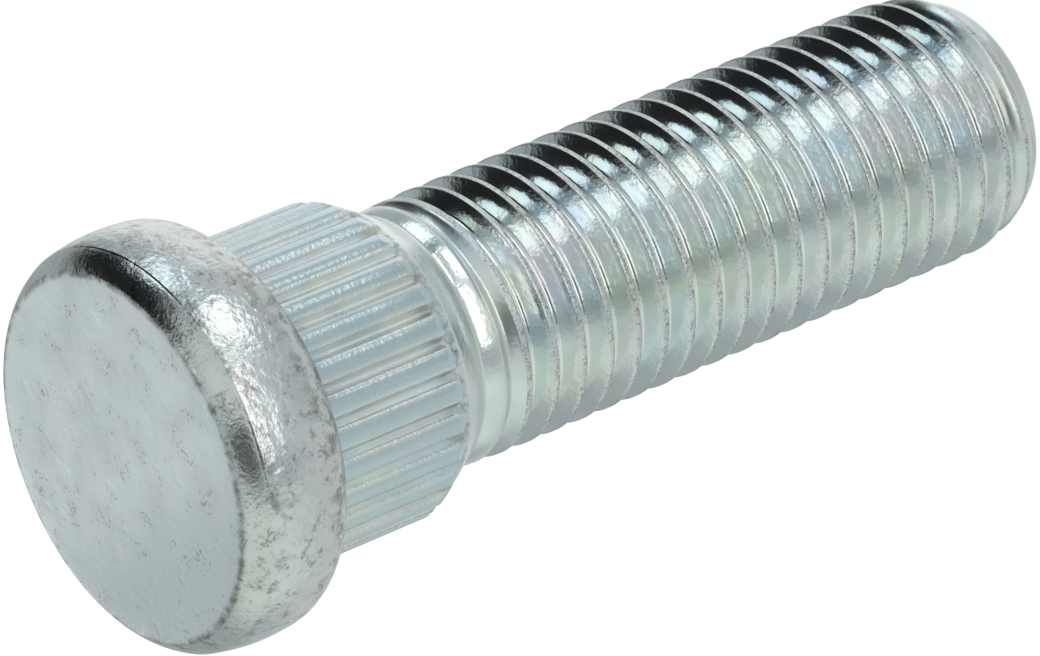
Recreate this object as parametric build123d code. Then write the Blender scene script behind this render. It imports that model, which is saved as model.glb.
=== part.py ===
"""Press-in wheel stud: forged head, splined shoulder, plain neck and a rolled right-hand thread.

Millimetres, +Z up. The stud stands on the flat end of its thread with the head at the top,
and the axis of the stud is the Z axis.
"""
import math
import os

from build123d import *

# overall
LENGTH = 46.8            # tip face to head face

# head
HEAD_R = 9.13            # widest radius of the barrel-shaped side
HEAD_T = 5.4             # head face to the seat under the head
HEAD_BEVEL_IN = 0.19     # widest radius to the outer edge of the bevel
HEAD_BEVEL_W = 0.84      # radial width of the bevel
HEAD_BEVEL_T = 1.02      # axial depth of the bevel
HEAD_BEVEL_BULGE = 0.05  # how far the bevel swells over a straight cone
HEAD_SEAT_SHARE = 0.5275 # flat part of the overhang; the rest is the round up to the side
HEAD_SIDE_T = 1.6        # seat to the start of the barrel side
HEAD_SIDE_BULGE = 0.03   # how far the barrel side swells over its lower edge
HEAD_EDGE_ROUND = 0.2    # round between the face and the bevel

# splined shoulder
SPLINE_R = 7.2           # over the lands
SPLINE_COUNT = 30
SPLINE_DEPTH = 0.35
SPLINE_GROOVE_W = 0.56   # groove mouth
SPLINE_FLOOR_W = 0.2     # groove floor
SPLINE_PHASE = 1.0       # degrees
SPLINE_L = 6.8           # seat to the end of the full lands
LEAD_L = 2.85            # rounded lead-in below the lands
LEAD_CONE_L = 0.55       # share of the lead-in that is a plain cone
LEAD_CONE_RISE = 0.57    # share of the rise from neck to lands on that cone
SEAT_FILLET = 0.25

# neck
NECK_R = 5.53            # narrowest radius, next to the lead-in
NECK_BLEND = 0.6         # fillet between lead-in and neck
NECK_L = 3.55            # lead-in to the last full thread

# thread M12 x 1.5
PITCH = 1.5
CREST_R = 5.92
THREAD_DEPTH = 0.92
CREST_W = 0.28
RUN_OUT = 1.7            # length over which the groove fades into the neck
FADE_START = 0.6         # how far under THREAD_TOP the cone of the run-out starts
FADE_INSET = 0.3         # how far inside the root that cone starts
THREAD_Z = 1.004         # height of a groove centre above the tip, on the +X side
NOSE_R = 5.0             # rounded nose in side view
NOSE_L = 3.2
TIP_ROUND = 0.35
CLEAR = 0.12             # how far the thread cutter stands over the crests
SWEEP_LEAD = 1.75        # turns of the cutter before THREAD_Z; keeps its seam off the blank's
SPLINE_CLEAR = 0.3       # how far the groove cutter stands over the lands

SEAT_Z = LENGTH - HEAD_T
LANDS_END = SEAT_Z - SPLINE_L
LEAD_END = LANDS_END - LEAD_L
THREAD_TOP = LEAD_END - NECK_L
ROOT_R = CREST_R - THREAD_DEPTH
HEAD_BEVEL_R = HEAD_R - HEAD_BEVEL_IN
HEAD_FACE_R = HEAD_BEVEL_R - HEAD_BEVEL_W


def blank():
    """The turned shape without splines and thread, as one revolved profile."""
    nose_drop = NOSE_R - math.sqrt(NOSE_R**2 - NOSE_L**2)
    tip_r = CREST_R - nose_drop
    mid_drop = NOSE_R - math.sqrt(NOSE_R**2 - (NOSE_L / 2) ** 2)
    bevel_z = LENGTH - HEAD_BEVEL_T
    bevel_mid_r = (HEAD_FACE_R + HEAD_BEVEL_R) / 2 + HEAD_BEVEL_BULGE
    bevel_mid_z = LENGTH - HEAD_BEVEL_T / 2 + HEAD_BEVEL_BULGE
    side_z = SEAT_Z + HEAD_SIDE_T
    seat_r = SPLINE_R + HEAD_SEAT_SHARE * (HEAD_R - SPLINE_R)
    rear_w = HEAD_R - seat_r
    rear_round = (rear_w**2 + HEAD_SIDE_T**2) / (2 * rear_w)
    half = 0.5 * math.asin(HEAD_SIDE_T / rear_round)
    lead_way = (LEAD_CONE_RISE * (SPLINE_R - NECK_R), LEAD_CONE_L * LEAD_L)
    lead_mid = (NECK_R + lead_way[0], LEAD_END + lead_way[1])
    round_mid = (HEAD_R - rear_round * (1 - math.cos(half)), side_z - rear_round * math.sin(half))

    with BuildSketch(Plane.XZ) as section:
        with BuildLine():
            Line((0, 0), (tip_r, 0))
            ThreePointArc((tip_r, 0), (CREST_R - mid_drop, NOSE_L / 2), (CREST_R, NOSE_L))
            Line((CREST_R, NOSE_L), (CREST_R, THREAD_TOP))
            Line((CREST_R, THREAD_TOP), (NECK_R, LEAD_END))
            Line((NECK_R, LEAD_END), lead_mid)
            Spline(lead_mid, (SPLINE_R, LANDS_END), tangents=[lead_way, (0, 1)])
            Line((SPLINE_R, LANDS_END), (SPLINE_R, SEAT_Z))
            Line((SPLINE_R, SEAT_Z), (seat_r, SEAT_Z))
            ThreePointArc((seat_r, SEAT_Z), round_mid, (HEAD_R, side_z))
            side_mid = (HEAD_R + HEAD_SIDE_BULGE, (side_z + bevel_z) / 2)
            ThreePointArc((HEAD_R, side_z), side_mid, (HEAD_BEVEL_R, bevel_z))
            ThreePointArc((HEAD_BEVEL_R, bevel_z), (bevel_mid_r, bevel_mid_z), (HEAD_FACE_R, LENGTH))
            Line((HEAD_FACE_R, LENGTH), (0, LENGTH))
            Line((0, LENGTH), (0, 0))
        make_face()

        def corner(r, z):
            return section.vertices().sort_by_distance((r, z, 0))[0]

        fillet(corner(tip_r, 0), TIP_ROUND)
        fillet(corner(NECK_R, LEAD_END), NECK_BLEND)
        fillet(corner(SPLINE_R, SEAT_Z), SEAT_FILLET)
        fillet(corner(HEAD_FACE_R, LENGTH), HEAD_EDGE_ROUND)
    return revolve(section.sketch, Axis.Z)


def spline_grooves():
    """The narrow grooves between the lands, from the lead-in up to the seat."""
    floor_r = SPLINE_R - SPLINE_DEPTH
    widen = (SPLINE_GROOVE_W - SPLINE_FLOOR_W) / 2 / SPLINE_DEPTH * SPLINE_CLEAR
    mouth = SPLINE_GROOVE_W / 2 + widen
    outline = [
        (floor_r, -SPLINE_FLOOR_W / 2),
        (SPLINE_R + SPLINE_CLEAR, -mouth),
        (SPLINE_R + SPLINE_CLEAR, mouth),
        (floor_r, SPLINE_FLOOR_W / 2),
    ]
    groove = extrude(
        Plane.XY.offset(LEAD_END) * make_face(Polyline(*outline, close=True)),
        SEAT_Z - LEAD_END,
    )
    step = 360 / SPLINE_COUNT
    return [groove.rotate(Axis.Z, SPLINE_PHASE + step * i) for i in range(SPLINE_COUNT)]


def thread_groove():
    """One V groove with a narrow flat root, swept along a right-hand helix turn by turn."""
    slope = math.tan(math.radians(30))
    root_w = PITCH - CREST_W - 2 * THREAD_DEPTH * slope
    mouth_w = root_w + 2 * (THREAD_DEPTH + CLEAR) * slope
    start = THREAD_Z - SWEEP_LEAD * PITCH
    turns = math.ceil((THREAD_TOP + RUN_OUT - start) / PITCH)
    turn = Helix(PITCH, PITCH, CREST_R)
    path = Wire([turn.moved(Location((0, 0, start + PITCH * i))) for i in range(turns)])
    plane = Plane(origin=path @ 0, x_dir=(1, 0, 0), z_dir=turn % 0)
    outline = [
        (-THREAD_DEPTH, -root_w / 2),
        (-THREAD_DEPTH, root_w / 2),
        (CLEAR, mouth_w / 2),
        (CLEAR, -mouth_w / 2),
    ]
    corners = [plane.from_local_coords(Vector(x, y, 0)) for x, y in outline]
    groove = Solid.sweep(Face(Wire.make_polygon(corners, close=True)), path, is_frenet=True)
    return groove.rotate(Axis.Z, -360 * SWEEP_LEAD)


def run_out_cone():
    """A cone that the groove's floor climbs, out through the neck's surface, at its last turns."""
    low_z = THREAD_TOP - FADE_START
    end_z = THREAD_TOP + RUN_OUT
    end_r = CREST_R + (NECK_R - CREST_R) * RUN_OUT / NECK_L
    low_r = ROOT_R - FADE_INSET
    slope = (end_r - low_r) / (end_z - low_z)
    high_z = end_z + 2 * PITCH
    high_r = end_r + slope * 2 * PITCH
    with BuildSketch(Plane.XZ) as section:
        Polygon((0, low_z), (low_r, low_z), (high_r, high_z), (0, high_z), align=None)
    return revolve(section.sketch, Axis.Z)


stud = blank()
stud = stud - (thread_groove() - run_out_cone())
stud = stud - spline_grooves()
stud.label = "wheel_stud"

os.makedirs("parts", exist_ok=True)
export_step(stud, "parts/wheel_stud.step")
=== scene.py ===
"""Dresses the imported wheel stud: headed, splined and thread-rolled steel with bright zinc plate."""
import math
from functools import partial
from types import SimpleNamespace

import bpy
from bpy.props import FloatProperty, FloatVectorProperty, IntProperty, PointerProperty
from mathutils import Matrix, Vector


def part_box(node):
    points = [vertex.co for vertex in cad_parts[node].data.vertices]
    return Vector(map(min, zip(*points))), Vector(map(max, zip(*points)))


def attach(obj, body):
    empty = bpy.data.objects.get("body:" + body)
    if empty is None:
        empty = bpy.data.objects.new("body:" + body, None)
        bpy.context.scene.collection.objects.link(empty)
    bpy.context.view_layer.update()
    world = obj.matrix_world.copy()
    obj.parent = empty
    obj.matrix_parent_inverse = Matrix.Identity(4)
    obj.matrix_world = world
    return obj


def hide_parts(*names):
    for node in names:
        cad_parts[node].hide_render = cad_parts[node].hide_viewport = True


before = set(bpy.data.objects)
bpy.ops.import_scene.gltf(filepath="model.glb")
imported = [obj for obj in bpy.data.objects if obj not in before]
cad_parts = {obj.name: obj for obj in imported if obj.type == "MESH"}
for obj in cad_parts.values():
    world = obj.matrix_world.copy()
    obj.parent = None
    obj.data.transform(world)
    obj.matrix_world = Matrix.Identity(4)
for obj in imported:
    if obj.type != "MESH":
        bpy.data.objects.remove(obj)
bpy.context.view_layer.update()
NODE = "wheel_stud"
MM = 0.001
STUD_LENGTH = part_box(NODE)[1][2]

bl_info = {
    "name": "Wheel stud",
    "version": (1, 0, 0),
    "blender": (4, 5, 0),
    "location": "View3D > Sidebar > Stud",
    "description": "Rolls, splines and plates a press-in wheel stud and sets it on a white floor",
    "category": "Object",
}

# Fine points of the section.
TIP_ROUND = 0.35 * MM
CREST_EDGE = 0.1125 * MM      # middle of a crest to its upper edge
BEAD_RUN = 0.7 * MM           # lower edge of the bead to the lead-in
BEAD_EASE = 0.05 * MM         # how far the bead's curve pulls in
BEAD_FOOT = (0.11 * MM, 0.15 * MM)
NECK_BLEND = (0.1 * MM, 0.28 * MM)
LEAD_CONE_RISE = 0.57         # shares of the lead-in that are a plain cone
LEAD_CONE_RUN = 0.55
LEAD_BLEND = 0.35             # share of that cone that blends into the neck
LEAD_SLOPE = 0.62             # radius over height where the cone meets the round
SEAT_FILLET = 0.25 * MM
SEAT_EDGE = 0.15 * MM         # extra row on the seat, next to the rear round
SIDE_SWELL = 0.155 * MM
BEVEL_EDGE = (0.02 * MM, -0.09 * MM)
BEVEL_TOP = (0.12 * MM, -0.1 * MM)
BEVEL_SWELL = 0.14 * MM
BEVEL_LEAN = (0.48, 0.40)     # shares of the bevel's width and depth at its swollen middle
FACE_ROUND = 0.2 * MM
FACE_SHARES = (0.88, 0.7, 0.5, 0.3, 0.1, 0.0)
TIP_SHARES = (0.0, 0.5, 0.9, 1.0)

# Rounded ends of the lands on the lead-in, and where the grooves stop under the head.
FINGER_RISE = 0.56 * MM
FINGER_RUN = 1.0 * MM
FINGER_ROUND = 0.5 * MM
FINGER_SLOPE = 1.3
FINGER_CURVE = 1.5
SPLINE_STOP = 0.1 * MM
SPLINE_FADE = 0.5 * MM

# Rows on each stretch of the section, and columns round the axis.
ROWS = {
    "nose": 5, "bead": 6, "blend": 4, "cone": 3, "lead": 16, "land": 6, "fillet": 4, "rear": 8,
    "side": 7, "bevel": 7, "edge": 3,
}
COLUMNS_PER_SPLINE = 9
COLUMN_PACK = 0.45            # how far columns draw together at the grooves
# Rows of one thread turn as shares of the pitch, from a crest's upper edge to the next one.
TURN_ROWS = (0.0, 0.03, 0.055, 0.29, 0.32, 0.425, 0.53, 0.56, 0.795, 0.82, 0.85, 0.925)
# More rows on the flanks of the last turns: they start on the row before them and fan out.
FLANK_ROWS = (0.10, 0.15, 0.20, 0.25, 0.60, 0.65, 0.70, 0.75)
# Lean of a level row that still follows the thread.
LEVEL = 1e-6
# Whole turns added before the thread's phase is cut to one turn, so that it is never negative.
SPARE_TURNS = 100.0
# Keeps a whole number whole when it is divided and rounded down.
ROUNDING = 0.25
WELD = 1e-6

# Thread section from a crest's upper edge: share of the pitch against share of the depth.
THREAD_SECTION = (
    (0.0, 0.0), (0.03, 0.05), (0.32, 0.82), (0.425, 0.95), (0.53, 0.82), (0.82, 0.05), (0.85, 0.0),
    (0.925, 0.035), (1.0, 0.0),
)
# Half of one spline from the groove's middle to the land's: share of the half against depth.
SPLINE_SECTION = (
    (0.0, 1.0), (0.13, 0.92), (0.303, 0.50), (0.543, 0.13), (0.84, 0.0), (1.0, 0.0),
)

# Sizes of the plate's patterns, in millimetres. The real grain is finer than a tenth of a
# millimetre, and is drawn as coarse as it needs to show.
CLOUD = 2.2222
FILM = 2.6316
FLECK = 0.15385
SEAM_FLECK = 0.125
GROUP = 1.1111
BLOTCH = 0.66667
SCRATCH = 1.25
SCRATCH_TURN = 0.9
SCRATCH_STRETCH = (0.35, 5.0, 1.0)
GRAIN = 0.2
RIPPLE = 0.38462
PIT = 0.76923
DENT = 1.42857

# Light round the stud by direction: azimuth from +X and height over the horizon, both in degrees,
# the width of the soft edge, and the light itself as linear red, green and blue.
SKY = (0.40, 0.45, 0.45)
SOFT_BOXES = (
    ("camera_side", (-116, -44), (-90, 68), 34, (0.62, 0.70, 0.70)),
    ("table_side", (148, 222), (-90, 60), 28, (0.74, 0.82, 0.76)),
    ("ceiling", (-181, 181), (77, 110), 12, (0.57, 0.69, 0.68)),
    ("low_sheet", (-181, 181), (-110, -28), 16, (0.62, 0.66, 0.64)),
    ("low_back", (-4, 80), (-62, -28), 14, (0.95, 0.98, 0.96)),
    ("low_mid", (-112, -32), (-62, -31), 12, (0.50, 0.55, 0.55)),
    ("front_fill", (-96, -38), (25, 60), 10, (0.70, 0.76, 0.73)),
    ("side_flag", (-135, -95), (22, 64), 9, (0.11, 0.115, 0.11)),
    ("back_flag", (-23, 46), (-8, 63), 9, (0.015, 0.016, 0.018)),
    ("key_box", (-33, -2), (65.5, 75.5), 4, (1.40, 1.50, 1.50)),
    ("low_front", (-117, -66), (-12, 5), 4, (1.65, 1.62, 1.55)),
    ("low_side", (-61, -31), (-30, -9), 5, (1.60, 1.66, 1.62)),
    ("low_gap", (-31, -17), (-14, -1), 5, (0.24, 0.32, 0.36)),
    ("low_glint", (-19, 7), (-19, 12), 4, (1.25, 1.45, 1.50)),
    ("back_wall", (74, 108), (4, 62), 10, (0.60, 0.65, 0.65)),
    ("back_strip", (88, 99), (6, 24), 5, (1.10, 1.15, 1.15)),
)
FLOOR_HALF = 3.0
FLOOR_GLOW = 0.85

# The photograph's camera: place, the directions of its right and up, and its lens in millimetres.
CAMERA_PLACE = (0.0, -0.3293, 0.2418)
CAMERA_RIGHT = (-0.38192, -0.50752, -0.77236)
CAMERA_UP = (0.92418, -0.20669, -0.32118)
CAMERA_LENS = 320.2
CAMERA_SENSOR = 36
CAMERA_CLIP = 0.01

# Kinds of node that are used often, and their usual settings.
RANGE = "ShaderNodeMapRange"
MIX = "ShaderNodeMix"
NOISE = "ShaderNodeTexNoise"
SMOOTH = {"interpolation_type": "SMOOTHSTEP"}
COLOURS = {"data_type": "RGBA"}


def length(name, description, default_mm):
    """A length property whose default is written in millimetres."""
    return FloatProperty(
        name=name, description=description, default=default_mm * MM, unit="LENGTH", precision=5
    )


def linear(hex_colour):
    """An sRGB hex value as linear red, green, blue and alpha."""
    channels = [int(hex_colour[i:i + 2], 16) / 255 for i in (1, 3, 5)]
    return [c / 12.92 if c <= 0.04045 else ((c + 0.055) / 1.055) ** 2.4 for c in channels] + [1.0]


def colour(name, description, hex_colour):
    """A colour property whose default is written as sRGB hex."""
    return FloatVectorProperty(
        name=name, description=description, default=linear(hex_colour), subtype="COLOR", size=4,
        min=0, max=1,
    )


class StudSizes(bpy.types.PropertyGroup):
    """The sizes of the stud: the solid model's, with a longer run-out and deeper grooves."""

    total: FloatProperty(
        name="Length", description="Tip face to head face", default=STUD_LENGTH, unit="LENGTH",
        precision=5,
    )
    head_radius: length("Head radius", "Barrel side at its widest", 9.13)
    head_depth: length("Head depth", "Head face to the seat", 5.4)
    face_radius: length("Face radius", "Flat of the head face", 8.1)
    bevel_radius: length("Bevel radius", "Outer edge of the bevel", 8.94)
    bevel_depth: length("Bevel depth", "Bevel along the axis", 1.02)
    rear_round: length("Rear round", "Round between the side and the seat", 1.86)
    rear_depth: length("Rear depth", "Seat to the start of the barrel side", 1.6)
    spline_radius: length("Spline radius", "Over the lands", 7.2)
    spline_count: IntProperty(
        name="Splines", description="Grooves round the shoulder", default=30, min=3
    )
    spline_depth: length("Spline depth", "Land to groove floor", 0.42)
    spline_turn: FloatProperty(
        name="Spline turn", description="First groove from +X", default=math.radians(1.0),
        subtype="ANGLE",
    )
    spline_run: length("Spline run", "Seat to the end of the full lands", 6.8)
    lead_run: length("Lead-in", "Rounded lead-in below the lands", 2.85)
    neck_radius: length("Neck radius", "Narrowest part of the neck", 5.53)
    pitch: length("Pitch", "Thread pitch", 1.5)
    crest_radius: length("Crest radius", "Over the thread crests", 5.92)
    thread_depth: length("Thread depth", "Crest to root", 0.92)
    thread_top: length("Thread top", "End of the full thread above the tip", 29.0)
    run_out: length("Run-out", "Length over which the groove fades", 2.9)
    bead_radius: length("Bead radius", "Rounded end of the thread at the neck", 5.82)
    crest_height: length("Crest height", "First crest above the tip on the +X side", 0.254)
    nose_radius: length("Nose radius", "Rounded nose in side view", 5.0)
    nose_run: length("Nose length", "Tip face to the end of the nose", 3.2)


class StudFinish(bpy.types.PropertyGroup):
    """The colours of the plated steel and the floor, with painted shade for one side of the face and for
    the middles of the lands.
    """

    zinc: colour("Zinc", "Bright blue-white zinc plate", "#E6EBEC")
    zinc_cloud: colour("Clouded zinc", "Thinner plate between the clouds", "#DADFE0")
    zinc_dull: colour("Dull zinc", "Plate over forged steel", "#D3D5D8")
    zinc_olive: colour("Olive zinc", "Worn plate on the bevel", "#BFBEB9")
    film_blue: colour("Blue film", "Bluish tint of the passivation", "#CFE0EA")
    film_straw: colour("Straw film", "Yellowish tint of the passivation", "#E9EBD0")
    film_rose: colour("Rose film", "Pinkish tint of the passivation", "#E9DCE4")
    # painted shade: a darker tint laid over one side of the head face
    painted_face_shade: colour("Shaded zinc", "Duller plate on one side of the face", "#CCD2D4")
    # painted shade: a bluish, darker tint laid over the middles of the lands
    land: colour("Lands", "Bluish plate on the lands", "#C4D6DF")
    grime: colour("Grime", "Grey grime on the forged head", "#80776F")
    stain: colour("Stain", "Brown stain where the plate is thin", "#75635A")
    floor: colour("Floor", "Plain white floor", "#FFFFFF")
    floor_shade: colour("Floor shade", "Part of the floor that takes a shadow", "#AAAAAA")


def add(tree, kind, *values, **settings):
    """Adds one node with its settings, and fills or links its inputs in order, or by name from a dict.

    A kind in capitals is an operation of the Math node.
    """
    if kind.isupper():
        kind, settings = "ShaderNodeMath", {"operation": kind, **settings}
    node = tree.nodes.new(kind)
    for key, value in settings.items():
        setattr(node, key, value)
    sockets = [socket for socket in node.inputs if socket.enabled]
    if values and isinstance(values[0], dict):
        sockets, values = [node.inputs[key] for key in values[0]], values[0].values()
    for socket, value in zip(sockets, values):
        if isinstance(value, bpy.types.Node):
            value = next(output for output in value.outputs if output.enabled)
        if isinstance(value, bpy.types.NodeSocket):
            tree.links.new(value, socket)
        else:
            socket.default_value = value
    return node


def levels(s):
    """Heights of the seat, the ends of the lands and of the lead-in, and the bead's lower edge."""
    seat = s.total - s.head_depth
    lands_end = seat - s.spline_run
    lead_end = lands_end - s.lead_run
    return seat, lands_end, lead_end, lead_end - BEAD_RUN


def curve_rows(start, control, end, count):
    """Points of a quadratic curve, without its first point."""
    rows = []
    for i in range(1, count + 1):
        t = i / count
        rows.append(tuple(
            (1 - t) ** 2 * a + 2 * t * (1 - t) * b + t * t * c for a, b, c in zip(start, control, end)
        ))
    return rows


def thread_rows(s, bead_low):
    """Rows of the tip, the nose and the thread: radius, height and lean.

    Lean is how far a row climbs in one turn, in pitches: 0 on plain rows and 1 on the full thread.
    """
    pitch, crest = s.pitch, s.crest_radius
    low = s.crest_height + CREST_EDGE
    nose_low = crest - s.nose_radius + math.sqrt(s.nose_radius**2 - (s.nose_run - low) ** 2)
    tip = crest - s.nose_radius + math.sqrt(s.nose_radius**2 - s.nose_run**2)
    flat = tip - TIP_ROUND
    rows = [(flat * share, 0.0, 0.0) for share in TIP_SHARES]
    nose = curve_rows((flat, 0), (tip, 0), (nose_low, low), ROWS["nose"])
    rows += [(r, z, 0.0) for r, z in nose[:-1]]

    turns = math.floor((bead_low - low) / pitch) - 1
    rows += [(nose_low, low, share) for share in TURN_ROWS]
    rows += [(crest, low + (m + share) * pitch, 1.0) for m in range(turns - 1) for share in TURN_ROWS]
    fine_rows = sorted(TURN_ROWS + FLANK_ROWS)
    for share in fine_rows:
        start = max(row for row in TURN_ROWS if row <= share)
        rows.append((crest, low + (turns - 1 + start) * pitch, 1.0 + share - start))
    last = low + turns * pitch
    heights = [last + (m + share) * pitch for m in range(2) for share in fine_rows]
    for height in [h for h in heights if h < bead_low] + [bead_low]:
        rows.append((crest, height, min(1.0, (bead_low - height) / pitch + LEVEL)))
    return rows


def shoulder_rows(s):
    """Rows of the bead, the neck, the lead-in, the lands and the fillet: radius and height."""
    seat, lands_end, lead_end, bead_low = levels(s)
    neck, lands = s.neck_radius, s.spline_radius
    bead_end = (neck + BEAD_FOOT[0], lead_end + BEAD_FOOT[1])
    bead_control = (s.bead_radius - BEAD_EASE, (bead_low + bead_end[1]) / 2)
    blend_control = (neck + NECK_BLEND[0], lead_end + NECK_BLEND[1])
    lead_mid = (neck + LEAD_CONE_RISE * (lands - neck), lead_end + LEAD_CONE_RUN * s.lead_run)
    blend_end = tuple(a + LEAD_BLEND * (b - a) for a, b in zip((neck, lead_end), lead_mid))
    lead_control = (lands, lead_mid[1] + (lands - lead_mid[0]) / LEAD_SLOPE)
    land_top = (lands, seat - SEAT_FILLET)
    rows = [(s.bead_radius, bead_low)]
    rows += curve_rows(rows[-1], bead_control, bead_end, ROWS["bead"])
    rows += curve_rows(bead_end, blend_control, blend_end, ROWS["blend"])
    rows += curve_rows(blend_end, lead_mid, lead_mid, ROWS["cone"])
    rows += curve_rows(lead_mid, lead_control, (lands, lands_end), ROWS["lead"])
    rows += curve_rows(rows[-1], land_top, land_top, ROWS["land"])
    rows += curve_rows(land_top, (lands, seat), (lands + SEAT_FILLET, seat), ROWS["fillet"])
    return rows


def head_rows(s):
    """Rows of the seat, the rear round, the barrel side, the bevel and the face: radius and height."""
    seat = levels(s)[0]
    centre = s.head_radius - s.rear_round
    side_low = seat + s.rear_depth
    sweep = math.asin(s.rear_depth / s.rear_round)
    rows = [(centre + s.rear_round * math.cos(sweep) - SEAT_EDGE, seat)]
    for i in range(ROWS["rear"] + 1):
        angle = sweep * (1 - i / ROWS["rear"])
        radius = centre + s.rear_round * math.cos(angle)
        rows.append((radius, side_low - s.rear_round * math.sin(angle)))
    bevel_low = (s.bevel_radius, s.total - s.bevel_depth)
    side_control = (s.head_radius + SIDE_SWELL, (side_low + bevel_low[1]) / 2)
    rows += curve_rows(rows[-1], side_control, bevel_low, ROWS["side"])
    rows.insert(-1, (s.bevel_radius + BEVEL_EDGE[0], bevel_low[1] + BEVEL_EDGE[1]))
    bevel_top = (s.face_radius + BEVEL_TOP[0], s.total + BEVEL_TOP[1])
    bevel_control = (
        s.face_radius + BEVEL_LEAN[0] * (s.bevel_radius - s.face_radius) + BEVEL_SWELL,
        s.total - BEVEL_LEAN[1] * s.bevel_depth,
    )
    face_edge = (s.face_radius - FACE_ROUND, s.total)
    rows += curve_rows(bevel_low, bevel_control, bevel_top, ROWS["bevel"])
    rows += curve_rows(bevel_top, (s.face_radius, s.total), face_edge, ROWS["edge"])
    return rows + [(s.face_radius * share, s.total) for share in FACE_SHARES]


def set_curve(node, points):
    """Writes a Float Curve node's points, joined by straight lines."""
    curve = node.mapping.curves[0]
    while len(curve.points) < len(points):
        curve.points.new(0.5, 0.5)
    for point, place in zip(curve.points, points):
        point.location = place
        point.handle_type = "VECTOR"
    node.mapping.update()


def rolling_tree():
    """A tree that turns the half section round the axis, rolls the thread and presses the splines."""
    tree = bpy.data.node_groups.new("roll_wheel_stud", "GeometryNodeTree")
    face = tree.interface
    face.new_socket("Geometry", in_out="INPUT", socket_type="NodeSocketGeometry")
    for name in ("Columns", "Splines"):
        face.new_socket(name, in_out="INPUT", socket_type="NodeSocketInt")
    for name in (
        "Pitch", "Crest Radius", "Thread Depth", "Thread Top", "Run-out", "Thread Start",
        "Nose Radius", "Nose Length", "Bead Radius", "Bead End", "Spline Radius", "Spline Depth",
        "Spline Turn", "Spline Top", "Spline Fade", "Finger Radius", "Finger Start", "Finger Round",
        "Finger Slope",
    ):
        face.new_socket(name, in_out="INPUT", socket_type="NodeSocketFloat")
    face.new_socket("Material", in_out="INPUT", socket_type="NodeSocketMaterial")
    face.new_socket("Geometry", in_out="OUTPUT", socket_type="NodeSocketGeometry")
    node = partial(add, tree)
    given = node("NodeGroupInput").outputs

    # grid of rows and columns
    rows = node("GeometryNodeAttributeDomainSize", given["Geometry"]).outputs["Point Count"]
    columns = node("ADD", given["Columns"], 1.0)
    grid = node("GeometryNodeMeshGrid", {"Vertices X": rows, "Vertices Y": columns})
    index = node("GeometryNodeInputIndex")
    row = node("FLOOR", node("DIVIDE", node("ADD", index, ROUNDING), columns))
    column = node("SUBTRACT", index, node("MULTIPLY", row, columns))
    section_spot = node("GeometryNodeInputPosition")
    section_lean = node("GeometryNodeInputNamedAttribute", {"Name": "lean"}, data_type="FLOAT")
    place, lean = (
        node(
            "GeometryNodeSampleIndex",
            {"Geometry": given["Geometry"], "Value": value, "Index": row},
            data_type=data_type,
        )
        for value, data_type in ((section_spot, "FLOAT_VECTOR"), (section_lean, "FLOAT"))
    )
    section_radius, _, section_height = node("ShaderNodeSeparateXYZ", place).outputs

    # turn, with columns drawn together at the grooves
    per_spline = node("DIVIDE", given["Columns"], given["Splines"])
    spline_share = node("DIVIDE", column, per_spline)
    wave = node("SINE", node("MULTIPLY", spline_share, math.tau))
    packed = node("MULTIPLY_ADD", wave, -COLUMN_PACK / math.tau, spline_share)
    turn = node("DIVIDE", packed, given["Splines"])
    angle = node("MULTIPLY_ADD", turn, math.tau, given["Spline Turn"])
    height = node("MULTIPLY_ADD", node("MULTIPLY", lean, given["Pitch"]), turn, section_height)

    # blank of the thread: nose, cylinder and neck
    drop = node("MAXIMUM", node("SUBTRACT", given["Nose Length"], height), 0.0)
    arc = node("SUBTRACT", node("POWER", given["Nose Radius"], 2.0), node("POWER", drop, 2.0))
    nose_centre = node("SUBTRACT", given["Crest Radius"], given["Nose Radius"])
    nose = node("ADD", nose_centre, node("SQRT", arc))
    neck = node(
        RANGE, height, given["Thread Top"], given["Bead End"],
        given["Crest Radius"], given["Bead Radius"],
    )
    blank = node("MINIMUM", nose, neck)

    # rolled thread
    climb = node("DIVIDE", node("SUBTRACT", height, given["Thread Start"]), given["Pitch"])
    phase = node("FRACT", node("ADD", node("SUBTRACT", climb, turn), SPARE_TURNS))
    section = node("ShaderNodeFloatCurve", {"Value": phase})
    set_curve(section, THREAD_SECTION)
    fade_end = node("ADD", given["Thread Top"], given["Run-out"])
    fade = node(RANGE, height, given["Thread Top"], fade_end, 1.0, 0.0)
    cut = node("MULTIPLY", node("MULTIPLY", section, fade), given["Thread Depth"])
    rolled = node("MINIMUM", blank, node("SUBTRACT", given["Crest Radius"], cut))

    # pressed splines, and the rounded ends of the lands
    half = node("PINGPONG", node("MULTIPLY", packed, 2.0), 1.0)
    groove = node("ShaderNodeFloatCurve", {"Value": half})
    set_curve(groove, SPLINE_SECTION)
    groove_end = node("SUBTRACT", given["Spline Top"], given["Spline Fade"])
    keep = node(RANGE, height, groove_end, given["Spline Top"], 1.0, 0.0)
    press = node("MULTIPLY", node("MULTIPLY", groove, keep), given["Spline Depth"])
    floor = node("SUBTRACT", given["Spline Radius"], press)
    setback = node("POWER", node("SUBTRACT", 1.0, half), FINGER_CURVE)
    finger_start = node("MULTIPLY_ADD", setback, given["Finger Round"], given["Finger Start"])
    finger_rise = node("MAXIMUM", node("SUBTRACT", height, finger_start), 0.0)
    finger = node("MULTIPLY_ADD", finger_rise, given["Finger Slope"], given["Finger Radius"])
    pressed = node("MINIMUM", section_radius, node("MINIMUM", floor, finger))

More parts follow.
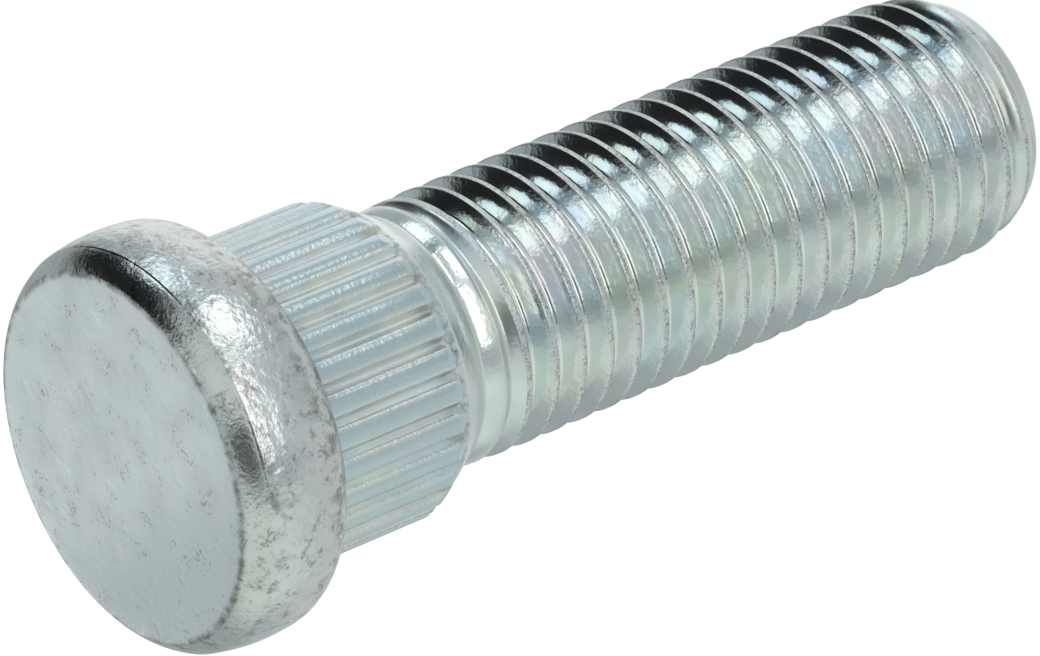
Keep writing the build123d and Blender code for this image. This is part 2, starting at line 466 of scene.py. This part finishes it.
    under_head = node("LESS_THAN", height, given["Spline Top"])
    plain = node("GeometryNodeSwitch", under_head, section_radius, pressed, input_type="FLOAT")
    on_thread = node("GREATER_THAN", lean, 0.0)
    radius = node("GeometryNodeSwitch", on_thread, plain, rolled, input_type="FLOAT")
    spot = node(
        "ShaderNodeCombineXYZ",
        node("MULTIPLY", radius, node("COSINE", angle)),
        node("MULTIPLY", radius, node("SINE", angle)),
        height,
    )
    shaped = node("GeometryNodeSetPosition", {"Geometry": grid.outputs["Mesh"], "Position": spot})
    closed = node("GeometryNodeMergeByDistance", {"Geometry": shaped, "Distance": WELD})
    outward = node("GeometryNodeFlipFaces", {"Mesh": closed})
    smooth = node("GeometryNodeSetShadeSmooth", {"Geometry": outward})
    real = node("GeometryNodeRealizeInstances", {"Geometry": smooth})
    plated = node("GeometryNodeSetMaterial", {"Geometry": real, "Material": given["Material"]})
    node("NodeGroupOutput", {"Geometry": plated})
    return tree


def plate_zones(node, sizes):
    """Where the surface is: its place in millimetres, and masks from 0 to 1 for its zones."""
    total = sizes.total / MM
    seat, lands_end = (level / MM for level in levels(sizes)[:2])
    fingers_end = lands_end - FINGER_RUN / MM
    bevel_low = total - sizes.bevel_depth / MM
    face_edge = sizes.face_radius / MM
    lands = sizes.spline_radius / MM
    thread_top = sizes.thread_top / MM

    spot = node("ShaderNodeMapping", {
        "Vector": node("ShaderNodeTexCoord").outputs["Object"], "Scale": (1 / MM, 1 / MM, 1 / MM),
    })
    x, y, z = node("ShaderNodeSeparateXYZ", spot).outputs
    radius = node("SQRT", node("ADD", node("MULTIPLY", x, x), node("MULTIPLY", y, y)))
    turn = node("DIVIDE", node("ARCTAN2", y, x), math.tau)

    # the thread: its crest seam, its nose and its run-out
    rise = node("DIVIDE", node("SUBTRACT", z, sizes.crest_height / MM), sizes.pitch / MM)
    off_crest = node("ABSOLUTE", node("WRAP", node("SUBTRACT", rise, turn), -0.5, 0.5))
    under_neck = node(RANGE, z, thread_top + 1.6, thread_top + 1.0, **SMOOTH)
    on_thread = node("MULTIPLY", under_neck, node(RANGE, z, 0.3, 0.8, **SMOOTH))
    crest = node("MULTIPLY", node(RANGE, off_crest, 0.115, 0.075, **SMOOTH), on_thread)
    nose = node(RANGE, z, 3.0, 1.2, **SMOOTH)
    run_out = node(
        "MULTIPLY",
        node(RANGE, z, thread_top + 0.2, thread_top + 0.9, **SMOOTH),
        node(RANGE, z, thread_top + 2.5, thread_top + 1.9, **SMOOTH),
    )

    # the shoulder: half goes from 0 in a groove's middle to 1 in a land's
    shoulder = node(
        "MULTIPLY",
        node(RANGE, z, fingers_end - 0.05, fingers_end + 0.15, **SMOOTH),
        node(RANGE, z, seat + 0.05, seat - 0.05, **SMOOTH),
    )
    in_groove = node("MULTIPLY", node(RANGE, radius, lands - 0.12, lands - 0.3, **SMOOTH), shoulder)
    spline_share = node("SUBTRACT", turn, sizes.spline_turn / math.tau)
    half = node("PINGPONG", node("MULTIPLY", spline_share, 2.0 * sizes.spline_count), 1.0)
    land_edge = node(
        "MULTIPLY", node(RANGE, half, 0.24, 0.34, **SMOOTH), node(RANGE, half, 0.52, 0.4, **SMOOTH)
    )
    land_edge = node("MULTIPLY", land_edge, shoulder)
    groove_end = node(
        "MULTIPLY",
        node(RANGE, z, lands_end + 0.7, lands_end - 0.2, **SMOOTH),
        node(RANGE, half, 0.42, 0.2, **SMOOTH),
    )

    # the head: face, edge of the face, bevel, side and the rims of the side
    head = node(RANGE, z, seat, seat + 0.1, **SMOOTH)
    face = node(
        "MULTIPLY",
        node(RANGE, z, total - 0.12, total - 0.03, **SMOOTH),
        node(RANGE, radius, face_edge + 0.1, face_edge - 0.15, **SMOOTH),
    )
    near_edge = node(
        "MULTIPLY",
        node(RANGE, radius, face_edge - 0.25, face_edge - 0.05, **SMOOTH),
        node(RANGE, radius, face_edge + 0.2, face_edge + 0.1, **SMOOTH),
    )
    near_edge = node("MULTIPLY", near_edge, node(RANGE, z, total - 0.4, total - 0.2, **SMOOTH))
    over_side = node(RANGE, z, bevel_low - 0.05, bevel_low + 0.05, **SMOOTH)
    bevel = node("MULTIPLY", over_side, node("SUBTRACT", 1.0, face))
    side = node("SUBTRACT", node("SUBTRACT", head, bevel), face)
    rim = node(
        "MAXIMUM",
        node(RANGE, z, bevel_low - 0.9, bevel_low, **SMOOTH),
        node(RANGE, z, seat + 1.9, seat + 0.8, **SMOOTH),
    )
    return SimpleNamespace(
        spot=spot, x=x, below_head=node(RANGE, z, seat + 0.2, seat - 0.2, 0.15, 1.0, **SMOOTH),
        crest=crest, nose=nose, run_out=run_out, shoulder=shoulder, in_groove=in_groove, half=half,
        land_edge=land_edge, groove_end=groove_end, face=face, near_edge=near_edge, bevel=bevel,
        side=side, rim=rim,
    )


def plate_patterns(node, spot):
    """The patterns that colour and relief share: specks in groups, blotches, and marks on the face."""
    fleck = node(NOISE, spot, 1 / FLECK, 3.0, 0.6)
    group = node(NOISE, spot, 1 / GROUP, 3.0, 0.6)
    grouped = node("MULTIPLY", fleck, group)
    lay = node("ShaderNodeMapping", {
        "Vector": spot, "Rotation": (0, 0, SCRATCH_TURN), "Scale": SCRATCH_STRETCH,
    })
    scratch = node(NOISE, lay, 1 / SCRATCH, 3.0, 0.6)
    scratch = node(
        "MULTIPLY",
        node(RANGE, scratch, 0.64, 0.72, 0.0, 0.3, **SMOOTH),
        node(RANGE, group, 0.45, 0.6, **SMOOTH),
    )
    specks = node("MAXIMUM", scratch, node(RANGE, grouped, 0.342, 0.42, 0.0, 0.55, **SMOOTH))
    blotch = node(NOISE, spot, 1 / BLOTCH, 6.0, 0.7)
    return SimpleNamespace(fleck=fleck, group=group, grouped=grouped, specks=specks, blotch=blotch)


def plate_colour(node, zones, patterns, finish):
    """The colour of the plate, as tints laid one over the other."""
    grouped, blotch = patterns.grouped, patterns.blotch
    cloud = node(NOISE, zones.spot, 1 / CLOUD, 3.0)
    layers = [(node(RANGE, cloud, 0.35, 0.7, **SMOOTH), finish.zinc_cloud)]
    # thin-film tints of the passivation, in patches several millimetres across
    films = ((3.0, finish.film_blue, 0.6), (17.0, finish.film_straw, 0.4), (31.0, finish.film_rose, 0.4))
    for seed, film, most in films:
        patch = node(NOISE, zones.spot, seed, 1 / FILM, 2.0, noise_dimensions="4D")
        patch = node(RANGE, patch, 0.46, 0.72, 0.0, most, **SMOOTH)
        layers.append((node("MULTIPLY", patch, zones.below_head), film))

    # stained specks along the crest seam
    seam = node(NOISE, zones.spot, 1 / SEAM_FLECK, 3.0, 0.65)
    seam = node("MULTIPLY", node(RANGE, seam, 0.44, 0.62, **SMOOTH), zones.crest)
    seam = node("MULTIPLY", seam, node(RANGE, patterns.group, 0.34, 0.56, 0.35, 1.0, **SMOOTH))
    layers.append((node("MULTIPLY", seam, 0.6), finish.stain))

    # dull plate, grime and stains on the forged side and the bevel
    grime = node(RANGE, blotch, 0.53, 0.68, 0.0, 0.7, **SMOOTH)
    rim_grime = node("MULTIPLY", node(RANGE, blotch, 0.44, 0.62, 0.0, 0.75, **SMOOTH), zones.rim)
    side_grime = node("MAXIMUM", grime, rim_grime)
    side_stain = node(RANGE, grouped, 0.32, 0.42, 0.0, 0.5, **SMOOTH)
    bevel_stain = node(RANGE, grouped, 0.30, 0.40, 0.0, 0.5, **SMOOTH)
    layers += [
        (node("MULTIPLY", zones.side, 0.5), finish.zinc_dull),
        (node("MULTIPLY", zones.side, side_grime), finish.grime),
        (node("MULTIPLY", zones.side, side_stain), finish.stain),
        (node("MULTIPLY", zones.bevel, 0.35), finish.zinc_olive),
        (node("MULTIPLY", zones.bevel, grime), finish.grime),
        (node("MULTIPLY", zones.bevel, bevel_stain), finish.stain),
    ]

    # painted bluish shade in the middles of the lands, and dirt in the lower ends of the grooves
    painted_land_shade = node(RANGE, zones.half, 0.42, 0.66, 0.0, 0.75, **SMOOTH)
    dirt = node("MULTIPLY", zones.in_groove, zones.groove_end)
    dirt = node("MULTIPLY", dirt, node(RANGE, patterns.group, 0.35, 0.6, **SMOOTH))
    layers += [
        (node("MULTIPLY", painted_land_shade, zones.shoulder), finish.land),
        (node("MULTIPLY", dirt, 0.4), finish.stain),
    ]

    # the face: painted shade darkening it towards one side, thin scratches, specks, and dirt along its
    # edge
    painted_shade_side = node(RANGE, zones.x, -0.5, -6.0, **SMOOTH)
    edge_dirt = node("MULTIPLY", zones.near_edge, node(RANGE, blotch, 0.40, 0.62, **SMOOTH))
    layers += [
        (node("MULTIPLY", painted_shade_side, zones.face), finish.painted_face_shade),
        (node("MULTIPLY", patterns.specks, zones.face), finish.grime),
        (node("MULTIPLY", edge_dirt, 0.65), finish.grime),
    ]

    plate = finish.zinc
    for share, shade in layers:
        plate = node(MIX, share, plate, shade, **COLOURS)
    return plate


def plate_relief(node, zones, patterns):
    """The relief of the plate, from heights in millimetres."""
    dent = node(RANGE, node(NOISE, zones.spot, 1 / DENT, 2.0, 0.5), 0.58, 0.74, **SMOOTH)
    height = node("MULTIPLY", node(NOISE, zones.spot, 1 / GRAIN, 3.0, 0.55), 0.008)
    height = node("MULTIPLY_ADD", node(NOISE, zones.spot, 1 / RIPPLE, 2.0, 0.5), 0.012, height)
    for pattern, depth, zone in (
        (dent, -0.012, zones.face),
        (patterns.specks, -0.01, zones.face),
        (node(NOISE, zones.spot, 1 / PIT, 3.0, 0.5), 0.07, zones.side),
        (patterns.fleck, 0.0084, zones.side),
        (patterns.fleck, 0.02, zones.crest),
        (patterns.fleck, 0.004, zones.shoulder),
        (patterns.fleck, 0.05, zones.land_edge),
        (patterns.fleck, 0.018, zones.bevel),
    ):
        height = node("MULTIPLY_ADD", node("MULTIPLY", pattern, depth), zone, height)
    return node("ShaderNodeBump", {"Height": height, "Strength": 1.0, "Distance": MM})


def plate_roughness(node, zones):
    """The roughness of the plate: bright on the flanks, duller where it was forged or worn."""
    roughness = 0.13
    for zone, more in (
        (zones.side, 0.07),
        (zones.face, 0.2),
        (zones.nose, 0.22),
        (zones.crest, 0.16),
        (zones.run_out, 0.16),
        (zones.shoulder, node(RANGE, zones.half, 0.2, 0.5, 0.25, 0.06, **SMOOTH)),
        (zones.bevel, 0.05),
    ):
        roughness = node("MULTIPLY_ADD", zone, more, roughness)
    return roughness


def zinc_material(finish, sizes):
    """Bright zinc plate on cold-headed and thread-rolled steel.

    The plate is a slightly clouded, blue-white mirror. The rolled flanks are smooth, the crests keep a
    speckled seam, the forged side of the head is pitted and blotched grey and brown, and a little dirt
    sits in the grooves' ends.
    """
    material = bpy.data.materials.new("bright_zinc_plate")
    material.use_nodes = True
    material.node_tree.nodes.clear()
    node = partial(add, material.node_tree)
    zones = plate_zones(node, sizes)
    patterns = plate_patterns(node, zones.spot)
    shader = node("ShaderNodeBsdfPrincipled", {
        "Base Color": plate_colour(node, zones, patterns, finish),
        "Metallic": 1.0,
        "Roughness": plate_roughness(node, zones),
        "Normal": plate_relief(node, zones, patterns),
    })
    node("ShaderNodeOutputMaterial", {"Surface": shader})
    return material


def floor_material(finish):
    """White paper: plain white to the camera, with the stud's shadow left faint on it."""
    material = bpy.data.materials.new("white_paper_floor")
    material.use_nodes = True
    material.node_tree.nodes.clear()
    node = partial(add, material.node_tree)
    seen = node("ShaderNodeLightPath").outputs["Is Camera Ray"]
    paper = node("ShaderNodeBsdfDiffuse", {"Color": finish.floor})
    glow = node("ShaderNodeEmission", {"Color": finish.floor, "Strength": FLOOR_GLOW})
    shade = node("ShaderNodeBsdfDiffuse", {"Color": finish.floor_shade})
    lit = node("ShaderNodeAddShader", glow, shade)
    node("ShaderNodeOutputMaterial", {"Surface": node("ShaderNodeMixShader", seen, paper, lit)})
    return material


def studio_world():
    """Pale room light with soft boxes and dark flags, and plain white past the floor's edge."""
    world = bpy.data.worlds.new("studio")
    world.use_nodes = True
    world.node_tree.nodes.clear()
    node = partial(add, world.node_tree)
    x, y, z = node("ShaderNodeSeparateXYZ", node("ShaderNodeTexCoord").outputs["Generated"]).outputs
    turn = node("ARCTAN2", y, x)
    rise = node("ARCSINE", z)
    light = (*SKY, 1.0)
    for name, azimuths, heights, soft, value in SOFT_BOXES:
        edge = math.radians(soft) / 2
        masks = []
        for angle, (low, high) in ((turn, azimuths), (rise, heights)):
            half = math.radians((high - low) / 2)
            away = node("SUBTRACT", angle, math.radians((low + high) / 2))
            if angle is turn:
                away = node("WRAP", away, -math.pi, math.pi)
            away = node("ABSOLUTE", away)
            masks.append(node(RANGE, away, half - edge, half + edge, 1.0, 0.0, **SMOOTH))
        share = node("MULTIPLY", *masks, label=name)
        light = node(MIX, share, light, (*value, 1.0), **COLOURS)
    seen = node("ShaderNodeLightPath").outputs["Is Camera Ray"]
    glow = node("ShaderNodeBackground", {"Color": light, "Strength": 1.0})
    white = node("ShaderNodeBackground", {"Color": (1, 1, 1, 1), "Strength": 1.0})
    node("ShaderNodeOutputWorld", {"Surface": node("ShaderNodeMixShader", seen, glow, white)})
    return world


class STUD_OT_stud(bpy.types.Operator):
    """Rolls the plated stud in place of its solid"""

    bl_idname = "stud.make_stud"
    bl_label = "Stud"

    def execute(self, context):
        sizes = context.scene.stud_sizes
        seat, lands_end, _, bead_low = levels(sizes)
        rows = thread_rows(sizes, bead_low)
        rows += [(r, z, 0.0) for r, z in shoulder_rows(sizes) + head_rows(sizes)]
        section = bpy.data.meshes.new("stud_section")
        section.from_pydata([(r, 0, z) for r, z, _ in rows], [], [])
        lean = section.attributes.new("lean", "FLOAT", "POINT")
        lean.data.foreach_set("value", [row[2] for row in rows])
        stud = bpy.data.objects.new("plated_wheel_stud", section)
        context.scene.collection.objects.link(stud)

        tree = rolling_tree()
        modifier = stud.modifiers.new("roll", "NODES")
        modifier.node_group = tree
        values = {
            "Columns": COLUMNS_PER_SPLINE * sizes.spline_count,
            "Splines": sizes.spline_count,
            "Pitch": sizes.pitch,
            "Crest Radius": sizes.crest_radius,
            "Thread Depth": sizes.thread_depth,
            "Thread Top": sizes.thread_top,
            "Run-out": sizes.run_out,
            "Thread Start": sizes.crest_height + CREST_EDGE,
            "Nose Radius": sizes.nose_radius,
            "Nose Length": sizes.nose_run,
            "Bead Radius": sizes.bead_radius,
            "Bead End": bead_low,
            "Spline Radius": sizes.spline_radius,
            "Spline Depth": sizes.spline_depth,
            "Spline Turn": sizes.spline_turn,
            "Spline Top": seat - SPLINE_STOP,
            "Spline Fade": SPLINE_FADE,
            "Finger Radius": sizes.spline_radius - FINGER_RISE,
            "Finger Start": lands_end - FINGER_RUN,
            "Finger Round": FINGER_ROUND,
            "Finger Slope": FINGER_SLOPE,
            "Material": zinc_material(context.scene.stud_finish, sizes),
        }
        for item in tree.interface.items_tree:
            if item.in_out == "INPUT" and item.name in values:
                modifier[item.identifier] = values[item.name]
        evaluated = stud.evaluated_get(context.evaluated_depsgraph_get())
        mesh = bpy.data.meshes.new_from_object(evaluated)
        stud.modifiers.remove(modifier)
        stud.data = mesh
        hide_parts(NODE)
        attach(stud, "root")
        return {"FINISHED"}


class STUD_OT_stage(bpy.types.Operator):
    """Sets the white floor, the soft light and the camera"""

    bl_idname = "stud.make_stage"
    bl_label = "Stage"

    def execute(self, context):
        scene = context.scene
        scene.view_settings.view_transform = "Standard"

        paper = bpy.data.meshes.new("floor")
        corners = ((-1, -1), (1, -1), (1, 1), (-1, 1))
        paper.from_pydata([(x * FLOOR_HALF, y * FLOOR_HALF, 0) for x, y in corners], [], [(0, 1, 2, 3)])
        floor = bpy.data.objects.new("floor", paper)
        scene.collection.objects.link(floor)
        floor.visible_glossy = False
        paper.materials.append(floor_material(scene.stud_finish))
        scene.world = studio_world()

        data = bpy.data.cameras.new("photo_camera")
        data.sensor_width = CAMERA_SENSOR
        data.lens = CAMERA_LENS
        data.clip_start = CAMERA_CLIP
        camera = bpy.data.objects.new("photo_camera", data)
        scene.collection.objects.link(camera)
        right, up = Vector(CAMERA_RIGHT), Vector(CAMERA_UP)
        turned = Matrix((right, up, right.cross(up))).transposed().to_4x4()
        camera.matrix_world = Matrix.Translation(CAMERA_PLACE) @ turned
        scene.camera = camera
        return {"FINISHED"}


class STUD_PT_panel(bpy.types.Panel):
    """Lists the stud's operators and values"""

    bl_idname = "STUD_PT_panel"
    bl_label = "Wheel stud"
    bl_space_type = "VIEW_3D"
    bl_region_type = "UI"
    bl_category = "Stud"

    def draw(self, context):
        layout = self.layout
        for operator in (STUD_OT_stud, STUD_OT_stage):
            layout.operator(operator.bl_idname)
        for group in (context.scene.stud_sizes, context.scene.stud_finish):
            for key in group.__annotations__:
                layout.prop(group, key)


CLASSES = (StudSizes, StudFinish, STUD_OT_stud, STUD_OT_stage, STUD_PT_panel)


def register():
    for item in CLASSES:
        bpy.utils.register_class(item)
    bpy.types.Scene.stud_sizes = PointerProperty(type=StudSizes)
    bpy.types.Scene.stud_finish = PointerProperty(type=StudFinish)


def unregister():
    del bpy.types.Scene.stud_finish
    del bpy.types.Scene.stud_sizes
    for item in reversed(CLASSES):
        bpy.utils.unregister_class(item)


def main():
    register()
    bpy.ops.stud.make_stud()
    bpy.ops.stud.make_stage()


if __name__ == "__main__":
    main()
